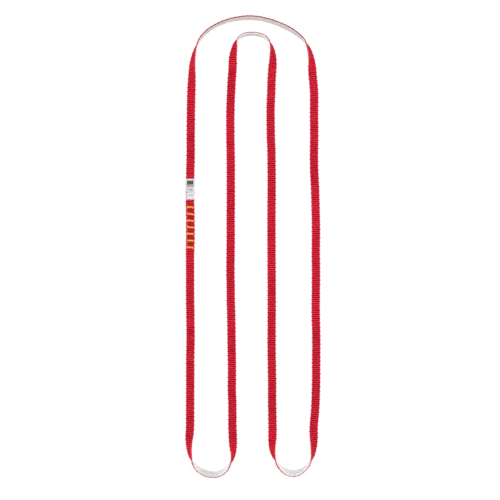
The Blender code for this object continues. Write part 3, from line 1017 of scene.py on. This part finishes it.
@dataclass
class Cloth:
    """One cloth of the double weave: rows of yarn floats that stand out of it in turn."""

    weave: Weave
    face: Face
    finish: WovenFinish
    tacks: list[TackPlace]
    columns: int
    groove: float  # heights of the grooves and crests over the strip's middle plane
    crest: float = 0.0010
    inner: float = 0.00003
    half_width: float = 0.00472
    row_bulge: float = 0.00018
    row_stray: float = 0.5
    row_rounding: float = 0.75
    side_rounding: float = 9.0
    dip_share: float = 0.12  # how much lower every other float stands
    uneven_share: float = 0.06
    flattening: float = 0.66  # how far the tacks' pull evens the rows out between them
    flat_level: float = 0.53  # the share of a row's height at which they even out
    pressed_height: float = 0.00068  # how high a crest stands under a tack
    press_reach: float = 0.0011
    press_half_width: float = 0.0045
    under_shares: tuple[float, ...] = (0.92, 0.35, -0.35, -0.92)
    rings_per_pick: int = 4
    stretches: int = 10
    stray_seed: int = 41
    stray_step: float = 0.004
    seed: int = 5

    @property
    def tack_shift(self) -> float:
        """Return how much further along the strip its upper layer lies on the tacks."""
        return self.weave.strip.route.length if self.face is Face.RED else 0.0

    def relief(self) -> Array:
        """Shape the floats of the yarns.

        Returns:
            The share of the way from groove to crest, for each ring and column.
        """
        ring = np.arange(self.weave.count * self.rings_per_pick + 1)
        pick, step = np.divmod(ring, self.rings_per_pick)
        phase = np.sin(np.pi * step / self.rings_per_pick) ** self.row_rounding
        down = (pick[:, None] + np.arange(self.columns)) % 2
        draws = np.random.default_rng(self.seed)
        floats = 1 - self.uneven_share * draws.random((self.weave.count + 1, self.columns))
        rows = 1 - self.uneven_share * draws.random(self.weave.count + 1)
        return phase[:, None] * (1 - self.dip_share * down) * floats[pick] * rows[pick][:, None]

    def flattened(self, along: Array) -> Array:
        """Return how far the rows are evened out, which they are only between the tacks.

        Args:
            along: Distances along the strip.

        Returns:
            A share for each distance.
        """
        places = [tack.along + self.tack_shift for tack in self.tacks]
        rise = smooth_rise((along - min(places)) / self.weave.pitch + 1)
        fall = smooth_rise((max(places) - along) / self.weave.pitch + 1)
        return self.flattening * rise * fall

    def press(self, along: Array, across: Array) -> Array:
        """Return how deep the bar tacks press the cloth in.

        Args:
            along: Distances along the strip.
            across: Distances to the right of its middle line.

        Returns:
            A depth for each place.
        """
        off = [along - self.tack_shift - tack.along + across * math.tan(tack.slant) for tack in self.tacks]
        share = np.exp(-((np.stack(off) / self.press_reach) ** 4)).max(axis=0)
        return (self.crest - self.pressed_height) * share * (np.abs(across) < self.press_half_width)

    def rings(self) -> Rings:
        """Lay the cloth's two sides out.

        Returns:
            One tube of rings, each with its outer side first and then its hidden side.
        """
        weave, strip = self.weave, self.weave.strip
        relief = self.relief()
        row = relief.max(axis=1)
        base = weave.place(np.arange(len(row)) / self.rings_per_pick)[:, None]
        # Evening the rows out also brings the painted groove shade and crest highlight to a middle tone
        # between the tacks.
        relief = relief + (self.flat_level - relief) * self.flattened(base)
        stray = self.row_stray * strip.wander(base, self.stray_seed + self.seed, self.stray_step)
        half = self.half_width + self.row_bulge * (row[:, None] + stray)
        share = np.linspace(-1, 1, self.columns)
        across = half * np.concatenate([share, self.under_shares])
        along = np.clip(base + weave.lean(base, across), 0, strip.length)
        rise = self.groove - self.inner + (self.crest - self.groove) * relief
        over = self.inner + rise * (1 - np.abs(share) ** self.side_rounding) ** 0.5
        over = over - self.press(along[:, : self.columns], across[:, : self.columns])
        under = np.zeros((len(base), len(self.under_shares)))
        out = np.concatenate([over, under + self.inner / 2], axis=1) * self.face.value
        lie = joined(along, across, np.concatenate([relief, under], axis=1))
        points = strip.points(along, across, out)
        way = -self.face.value
        return Rings(points[None, :, ::way], lie[None, :, ::way], self.stretches)

    def build(self) -> Piece:
        """Make the cloth."""
        return add_piece(f"webbing_{self.finish.name}", self.rings(), self.finish)


@dataclass
class Selvedge:
    """One side edge: a pale and a red edge yarn, with the red weft turning round them."""

    weave: Weave
    side: Side
    edge_place: float = 0.00468
    edge_half_width: float = 0.00048
    edge_low: float = -0.00104  # height of the pale yarn's underside over the strip's middle plane
    edge_split: float = -0.00032  # the same where the two yarns meet
    edge_high: float = 0.00112  # and at the red yarn's top
    edge_sides: int = 6
    edge_swell: float = 0.07
    edge_start: float = 0.1  # how many picks from the strip's ends the edge yarns begin
    edge_stretches: int = 40
    loop_from: float = 0.0041
    loop_to: float = 0.00534
    loop_half_width: float = 0.00040
    loop_low: float = -0.00044
    loop_high: float = 0.00118
    loop_spread: float = 1.1
    loop_rounding: float = 0.6
    loop_steps: int = 8
    loop_sides: int = 7
    loop_tilt: float = 0.00012
    loop_tones: Range = (0.86, 1.0)
    jitter: float = 0.00014
    drawn_in: float = 0.0004  # how far the turns draw in where the red edge is narrowest
    seed: int = 60
    # Painted shade on the red edge and its weft turns: how light they are along the outer and the inner arch.
    arc_edge_shade: Profile = Profile({25: 1, 28: 0.63, 41: 0.63, 43: 1, 151.5: 1, 153: 0.7, 156.5: 0.7, 158: 1})
    narrowed: Profile = Profile({
        94.4: 1, 96: 0.42, 97: 0.34, 98: 0.42, 100: 1, 152: 1, 154: 0.48, 157: 0.48, 159: 1,
        210.6: 1, 212: 0.45, 213.5: 0.34, 214.8: 0.45, 216.6: 1,
    })

    def tone(self, face: Face, along: Array) -> Array:
        """Return how light a face's edge is: painted shade darkens the red one over the arches, and the pale
        one over the arches and bights.

        Args:
            face: The face.
            along: Distances along the strip.

        Returns:
            A tone for each distance.
        """
        if face is Face.RED:
            return self.arc_edge_shade.at(along)
        return np.prod([1 - arc_shade.darkening(along) for arc_shade in ARC_SHADES], axis=0)

    def red_band(self, along: Array, low: float, high: float) -> tuple[Array, Array]:
        """Return the level and half height of the red edge, drawn back from the pale face in places."""
        low = high + (low - high) * self.narrowed.at(along)
        return (low + high) / 2, (high - low) / 2

    def lay(self, along: Array, across: Array, out: Array, turn: Array, tone: Array) -> Rings:
        """Return rings laid on the strip at turns round the yarn, leaning as the picks do."""
        leaning = np.clip(along + self.weave.lean(along, across), 0, self.weave.strip.length)
        return Rings(self.weave.strip.points(leaning, across, out), joined(along, turn / (2 * np.pi), tone))

    def edge_rings(self, face: Face) -> Rings:
        """Return the edge yarn of one face, which swells a little between the weft's turns.

        Args:
            face: The face.

        Returns:
            Its rings.
        """
        count = self.weave.count
        picks = np.linspace(self.edge_start, count - self.edge_start, count * 2)[:, None]
        along = self.weave.place(picks)
        turn = circle(self.edge_sides)
        swell = 1 + self.edge_swell * np.cos(2 * np.pi * picks)
        level, half_height = self.red_band(along, self.edge_split, self.edge_high)
        if face is Face.PALE:
            top = level - half_height
            level, half_height = (top + self.edge_low) / 2, (top - self.edge_low) / 2
        across = self.side.value * (self.edge_place + self.edge_half_width * swell * np.cos(turn))
        out = level + half_height * swell * np.sin(turn) * self.side.value
        # Its tone carries the painted shade of its face's edge over the arcs.
        rings = self.lay(along[None], across[None], out[None], turn, self.tone(face, along))
        rings.stretches = self.edge_stretches
        return rings

    def loop_rings(self) -> Rings:
        """Lay the weft's turns, from one pick out round the edge and back into the next.

        Returns:
            The rings of all turns, a tube for each.
        """
        draws = np.random.default_rng(self.seed + self.side.value)
        first = 0 if self.side is Side.LEFT else 1
        starts = np.arange(first, self.weave.count - 2, 2)[:, None] + 0.5
        each = (len(starts), 1, 1)
        middle = self.weave.place(starts + 0.5)
        reach = self.loop_spread * (self.weave.place(starts + 1) - self.weave.place(starts)) / 2
        tip = self.loop_to + self.jitter * draws.uniform(-1, 1, (len(starts), 1))
        tip = tip - self.drawn_in * (1 - self.narrowed.at(middle))
        sweep = np.linspace(0, np.pi, self.loop_steps)
        along = middle - reach * np.cos(sweep)
        across = self.loop_from + (tip - self.loop_from) * np.sin(sweep) ** self.loop_rounding
        step = joined(np.gradient(along, axis=1), np.gradient(across, axis=1))
        step = (step / np.linalg.norm(step, axis=-1, keepdims=True))[..., None]
        turn = circle(self.loop_sides)
        wide = self.loop_half_width * np.cos(turn)
        along = along[..., None] + step[:, :, 1] * wide
        across = across[..., None] + step[:, :, 0] * wide
        tilt = draws.uniform(-self.loop_tilt, self.loop_tilt, each)
        level, half_height = self.red_band(along, self.loop_low, self.loop_high)
        out = half_height * np.sin(turn) + level + tilt
        # The painted shade over the arches, times a random tone for each turn.
        tone = self.tone(Face.RED, along) * draws.uniform(*self.loop_tones, each)
        rings = self.lay(along, self.side.value * across, out, turn, tone)
        way = self.side.value
        return Rings(rings.points[:, :, ::way], rings.lie[:, :, ::way])

    def build(self) -> list[Piece]:
        """Make the edge yarns and the weft's turns.

        Returns:
            The pale edge yarn, the red edge yarn and the turns.
        """
        side = self.side.name.lower()
        return [
            add_piece(f"pale_edge_yarn_{side}", self.edge_rings(Face.PALE), PALE_EDGE),
            add_piece(f"red_edge_yarn_{side}", self.edge_rings(Face.RED), RED_EDGE),
            add_piece(f"weft_turns_{side}", self.loop_rings(), RED_WEFT),
        ]


@dataclass
class BarTack:
    """One bar tack: a zigzag of thread over both layers, another under them, and padding stitches."""

    strip: Strip
    place: TackPlace
    half_length: float = 0.0042
    half_width: float = 0.00112
    stitches: int = 29
    steps: int = 6
    thread: float = 0.00019
    crown: float = 0.00034  # the zigzag's middle over the webbing
    sink: float = 0.00050  # its holes under the webbing's crests
    bed: float = 0.00010  # how far the crests are pressed in under it
    rounding: float = 0.55
    reach_stray: float = 0.09
    padding_threads: int = 3
    padding_thread: float = 0.000247
    padding_pitch: float = 0.00052
    padding_share: float = 0.985  # its share of the tack's length
    # Painted shade on the padding stitches, which lie under the zigzag.
    padding_shade: float = 0.9
    padding_rise: float = 0.00008
    padding_dive: int = 16  # how close to its ends it dives
    sway: float = 0.00014
    seeds: int = 100  # how far the seeds of two tacks are apart

    @property
    def sewn(self) -> Array:
        """Return how many stitches of the zigzag lie before each point of a line."""
        return np.arange(self.stitches * self.steps + 1) / self.steps

    def sheared(self, across: Array, along: Array, rise: Array) -> Array:
        """Return a line on the tack, slanted and swayed, as across, along and rise."""
        bend = self.sway * np.sin(np.pi * across / self.half_length + self.place.number)
        return joined(across, self.place.along + along - across * math.tan(self.place.slant) + bend, rise)

    def zigzag(self, outward: int) -> Array:
        """Sew the zigzag of one side.

        Args:
            outward: 1 over the webbing and -1 under it.

        Returns:
            The points of its line, as across, along and how far they stand out of the webbing.
        """
        draws = np.random.default_rng(self.seeds * self.place.number + outward)
        stitch = np.minimum(self.sewn.astype(int), self.stitches - 1)
        within = self.sewn - stitch
        reach = self.half_width * (1 + self.reach_stray * draws.uniform(-1, 1, self.stitches + 1))
        ends = reach[stitch] * (1 - within) + reach[stitch + 1] * within
        forth = np.where(stitch % 2 == 0, -1.0, 1.0)
        rise = (self.crown + self.sink) * np.sin(np.pi * within) ** self.rounding - self.sink
        across = self.half_length * (2 * self.sewn / self.stitches - 1)
        return self.sheared(across, forth * ends * np.cos(np.pi * within), rise)

    def padding(self, number: int) -> Array:
        """Sew one long stitch that fills the tack under its zigzag.

        Args:
            number: Number of the stitch, from the tail.

        Returns:
            The points of its line, like those of the zigzag.
        """
        share = 2 * self.sewn / self.stitches - 1
        along = (number - (self.padding_threads - 1) / 2) * self.padding_pitch
        level = 1 - np.abs(share) ** self.padding_dive
        rise = self.padding_rise * level - self.sink * (1 - level)
        return self.sheared(share * self.half_length * self.padding_share, along, rise)

    def build(self) -> Piece:
        """Make the tack.

        Returns:
            The tack's piece.
        """
        threads = []
        for surface, outward in ((self.strip.lap_top - self.bed, 1), (self.strip.lower_lift + self.bed, -1)):
            sewn = [(self.zigzag(outward), self.thread, 1.0)]
            for number in range(self.padding_threads):
                sewn.append((self.padding(number), self.padding_thread, self.padding_shade))
            for line, radius, tone in sewn:
                line = line * (1, 1, outward) + (0, 0, surface)
                threads.append((line, radius, tone, distances(line)))
        name = f"stitched_tack_{self.place.number}"
        tack = add_piece(name, lay_threads(self.strip, threads), YELLOW_THREAD)
        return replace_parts(tack, f"bar_tack_{self.place.number}")


@dataclass
class CarriedThread:
    """The thread carried over from one bar tack to the next: two plies twisted together."""

    strip: Strip
    number: int
    start: TackPlace
    end: TackPlace
    across: float = -0.0036
    stray: float = 0.0001
    ply: float = 0.00009
    tone: float = 1.0
    points: int = 40
    turns: float = 4.5
    overlap: float = 0.0005
    slack: float = 0.00016
    height: float = 0.00034
    tuck: float = 0.0004
    tuck_dive: int = 8  # how close to its ends it is tucked in
    phases: Range = (0.0, 6.0)  # where the wave of its slack may start
    seed: int = 200

    def line(self) -> Array:
        """Lay the middle line, in a slack wave between its tucked ends.

        Returns:
            Its points, with across, along and height on the last axis.
        """
        draws = np.random.default_rng(self.seed + self.number)
        share = np.linspace(0, 1, self.points)
        first = self.end.along + self.overlap
        last = self.start.along - self.overlap
        along = first + (last - first) * share - self.across * math.tan(self.start.slant)
        wave = np.sin(np.pi * share) * np.sin(2 * np.pi * share + draws.uniform(*self.phases))
        across = self.across + draws.uniform(-self.stray, self.stray) + self.slack * wave
        rise = self.slack * np.sin(np.pi * share) - self.tuck * np.abs(2 * share - 1) ** self.tuck_dive
        return joined(across, along, self.strip.lap_top + self.height + rise)

    def build(self) -> Piece:
        """Make the thread.

        Returns:
            The thread's piece.
        """
        line = self.line()
        run = np.linspace(0, np.ptp(line[:, 1]), self.points)
        turns = np.linspace(0, self.turns, self.points)
        plies = []
        for half_turn in (0.0, 0.5):
            turn = 2 * np.pi * (turns + half_turn)
            strand = line + self.ply * joined(np.cos(turn), 0.0, np.sin(turn))
            plies.append((strand, self.ply, self.tone, run))
        name = f"carried_strand_{self.number}"
        strand = add_piece(name, lay_threads(self.strip, plies), CARRIED_THREAD)
        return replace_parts(strand, f"carry_thread_{self.number}")


@dataclass
class Lap:
    """The stitching of the lap: the row of bar tacks and the thread carried along it."""

    shift: float = 0.0006  # how far the sewn tacks lie past their nodes, towards the label
    stray: float = 0.00022
    slant: float = 5.0
    slant_stray: float = 1.5
    seed: int = 17

    def tacks(self) -> list[TackPlace]:
        """Place the bar tacks at the middles of their nodes, each a little astray.

        Returns:
            A place for each tack, the one nearest the label first.
        """
        draws = np.random.default_rng(self.seed)
        tail = ROUTE[0][1] * MILLIMETRE
        nodes = sorted(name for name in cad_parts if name.startswith("bar_tack_"))
        places = []
        for number, name in enumerate(nodes, 1):
            low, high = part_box(name)
            stray, turn = draws.uniform(-1, 1, 2)
            along = (low.y + high.y) / 2 - tail + self.shift + self.stray * stray
            places.append(TackPlace(number, along, math.radians(self.slant + self.slant_stray * turn)))
        return places

    def build(self, strip: Strip, tacks: list[TackPlace]) -> list[Piece]:
        """Make the stitching.

        Args:
            strip: The strip.
            tacks: The bar tacks' places.

        Returns:
            Its pieces.
        """
        pieces = [BarTack(strip, place).build() for place in tacks]
        for number, (start, end) in enumerate(zip(tacks, tacks[1:]), 1):
            pieces.append(CarriedThread(strip, number, start, end).build())
        return pieces


@dataclass
class Label:
    """The label: a clear film sleeve shrunk round the webbing, with a printed slip under it."""

    strip: Strip
    side_room: float = 0.0008
    wall: float = 0.00015
    clearance: float = 0.0003
    step_length: float = 0.008
    squareness: float = 0.34
    film_rings: int = 53
    film_sides: int = 64
    film_stretches: int = 2
    wrinkle: float = 0.00010
    wrinkle_step: float = 0.0011
    wrinkle_seed: int = 71
    wrinkle_apart: float = 0.5  # how far apart along the strip the two waves read their creases
    wrinkles: tuple[int, int] = (3, 5)  # waves round the film
    wrinkle_dip: float = 0.01
    slip_thickness: float = 0.0002
    slip_side_margin: float = 0.0006
    slip_end_margin: float = 0.0006
    slip_shift: float = 0.0003
    slip_corner: float = 0.0006
    slip_drop: float = 0.00005
    slip_sag: float = 0.00006
    slip_sag_step: float = 0.004
    slip_sag_seed: int = 83
    slip_rings: int = 49
    slip_columns: int = 15

    def roof(self, along: Array) -> Array:
        """Return the height of the inside of the sleeve's top: over two layers, then over one.

        Args:
            along: Distances along the strip.

        Returns:
            A height for each distance.
        """
        one_layer = self.strip.lower_lift + self.strip.thickness
        dropped = smooth_rise((along - self.strip.lap_length - self.clearance) / self.step_length)
        covered = self.strip.lap_top + (one_layer - self.strip.lap_top) * dropped
        return covered + self.clearance + self.slip_thickness + self.clearance

    def film_shell(self, along: Array, inset: float) -> Array:
        """Return one shell of the film.

        Args:
            along: Distances of its rings along the strip.
            inset: How far it lies inside the outer shell.

        Returns:
            Its points for each ring, as across and height.
        """
        turn = circle(self.film_sides)
        half_width = self.strip.width / 2 + self.side_room + self.wall - inset
        top = (self.roof(along) + self.wall - inset)[:, None]
        half_height = (top - inset) / 2
        waves = joined(np.cos(turn), np.sin(turn)).T
        across, height = np.sign(waves) * np.abs(waves) ** self.squareness
        places = along[:, None] + (0.0, self.wrinkle_apart)
        creases = self.strip.wander(places, self.wrinkle_seed, self.wrinkle_step)
        swell = creases[:, :1] * np.cos(self.wrinkles[0] * turn)
        swell = swell + creases[:, 1:] * np.sin(self.wrinkles[1] * turn)
        across = across * (half_width - self.wrinkle * (1 + swell))
        dip = 1 - self.wrinkle_dip * np.abs(swell)
        return joined(across, (top + inset) / 2 + half_height * height * dip)

    def film(self) -> Piece:
        """Make the sleeve as a thin closed tube of film.

        Returns:
            The film's piece.
        """
        start, end = self.strip.label_start, self.strip.label_end
        along = np.linspace(start, end, self.film_rings)
        section = np.concatenate([self.film_shell(along, 0.0), self.film_shell(along, self.wall)[::-1]])
        run = np.concatenate([along, along[::-1]])[:, None]
        points = self.strip.upright_points(run, section[..., 0], section[..., 1])
        lie = joined((run - start) / (end - start), section[..., 0], section[..., 1])
        rings = Rings(points[None, :, ::-1], lie[None, :, ::-1], self.film_stretches, ring_closed=True)
        sleeve = add_piece("label_film", rings, CLEAR_FILM)
        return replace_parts(sleeve, "label_sleeve")

    def slip(self) -> Piece:
        """Make the printed slip, slightly crowned, with rounded ends.

        Returns:
            The slip's piece.
        """
        start = self.strip.label_start + self.slip_end_margin
        end = self.strip.label_end - self.slip_end_margin
        share = np.linspace(0, 1, self.slip_rings)[:, None]
        along = start + (end - start) * share
        near_end = np.clip(np.minimum(along - start, end - along) / self.slip_corner, 0, 1)
        half = self.strip.width / 2 - self.slip_side_margin
        half = half - self.slip_corner * (1 - np.sqrt(1 - (1 - near_end) ** 2))
        column = np.linspace(-1, 1, self.slip_columns)
        section = np.concatenate([column, column[::-1]])
        level = np.repeat([-self.slip_drop, -self.slip_drop - self.slip_thickness], self.slip_columns)
        sagging = self.strip.wander(along, self.slip_sag_seed, self.slip_sag_step)
        sag = self.slip_sag * sagging * (1 - section**2)
        height = self.roof(along) - self.clearance + level + sag
        points = self.strip.upright_points(along, half * section + self.slip_shift, height)
        lie = joined(share, (section + 1) / 2, 0.0)
        slip = add_piece("label_print_slip", Rings(points[None, :, ::-1], lie[None, :, ::-1]), LABEL_PRINT)
        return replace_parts(slip, "label_slip")


@dataclass
class Webbing:
    """The strip of webbing: two cloths woven back to back, held at each side by a selvedge."""

    strip: Strip
    tacks: list[TackPlace]
    cord_step: float = 0.008

    def build(self) -> tuple[Piece, list[Piece]]:
        """Make the webbing.

        Returns:
            The red cloth and the other pieces.
        """
        weave = Weave(self.strip)
        red = Cloth(weave, Face.RED, RED_CLOTH, self.tacks, columns=21, groove=0.00054, crest=0.0012)
        pale = Cloth(
            weave,
            Face.PALE,
            PALE_CLOTH,
            self.tacks,
            columns=17,
            groove=0.00076,
            dip_share=0.06,
            uneven_share=0.04,
            seed=6,
        )
        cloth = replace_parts(red.build(), "webbing")
        others = [pale.build()]
        for side in Side:
            others += Selvedge(weave, side).build()
        return cloth, others

    def declare(self) -> None:
        steps = math.ceil(self.strip.length / self.cord_step)
        along = np.linspace(0, self.strip.length, steps + 1)
        path = self.strip.points(along, 0.0, 0.0).tolist()
        round(self.strip.length, 3)


@dataclass(frozen=True)
class SoftLamp:
    """A soft, wide lamp that points at the middle of the sling."""

    name: str
    place: Point
    size: Range  # its two sides
    power: float  # in watts

    def hang(self) -> None:
        """Hang the lamp in its place."""
        data = bpy.data.lights.new(self.name, "AREA")
        data.shape = "RECTANGLE"
        data.size, data.size_y = self.size
        data.energy = self.power
        lamp = put(self.name, data)
        lamp.location = self.place
        lamp.rotation_euler = (-lamp.location).to_track_quat("-Z", "Y").to_euler()


@dataclass
class Studio:
    """Lens, lamps, world and floor."""

    lens_place: Point = (-0.00355, -0.004375, 6.6)
    lens: float = 380.16
    sensor: float = 36.0
    floor_half: float = 3.0
    floor_drop: float = 0.00005
    world_strength: float = 0.26
    lamps: tuple[SoftLamp, ...] = (
        SoftLamp("overhead_lamp", (0.0, 0.45, 1.7), (1.2, 1.2), 8.2),
        SoftLamp("left_lamp", (-1.3, 0.0, 0.55), (0.6, 1.4), 16.0),
        SoftLamp("right_lamp", (1.3, 0.0, 0.55), (0.6, 1.4), 16.0),
    )

    def world(self) -> None:
        """Light the sling evenly from all round, and show white behind it."""
        world = bpy.data.worlds.new("soft_world")
        bpy.context.scene.world = world
        board = Board(world)
        around = board.tree.nodes["Background"]
        board.feed(around.inputs["Color"], WHITE)
        board.feed(around.inputs["Strength"], self.world_strength)
        board.show(around.outputs[0], board.add("Background", WHITE, 1.0).outputs[0])

    def floor(self) -> None:
        """Lay the pale floor just under the sling."""
        reach, drop = self.floor_half, -self.floor_drop
        mesh = bpy.data.meshes.new("floor")
        corners = [(-reach, -reach, drop), (reach, -reach, drop), (reach, reach, drop), (-reach, reach, drop)]
        mesh.from_pydata(corners, [], [(0, 1, 2, 3)])
        mesh.materials.append(WHITE_FLOOR.material())
        floor = put("floor", mesh)

    def camera(self) -> None:
        """Set the lens over the sling, looking straight down with +Y up in the picture."""
        data = bpy.data.cameras.new("camera")
        data.lens = self.lens
        data.sensor_width = self.sensor
        camera = put("camera", data)
        camera.location = self.lens_place
        bpy.context.scene.camera = camera

    def build(self) -> None:
        """Set everything up."""
        self.camera()
        self.world()
        self.floor()
        for lamp in self.lamps:
            lamp.hang()
        bpy.context.scene.view_settings.view_transform = "Standard"


def main() -> None:
    """Build the sling's looks in order, from the studio to the label."""
    logging.basicConfig(level=logging.INFO, format="%(message)s")
    Studio().build()
    strip = Strip(Route(ROUTE))
    log.info("strip of %.3f m, %.3f m round", strip.length, strip.route.length)
    lap = Lap()
    tacks = lap.tacks()
    webbing = Webbing(strip, tacks)
    cloth, pieces = webbing.build()
    pieces += lap.build(strip, tacks)
    label = Label(strip)
    pieces += [label.film(), label.slip()]
    webbing.declare()


if __name__ == "__main__":
    main()
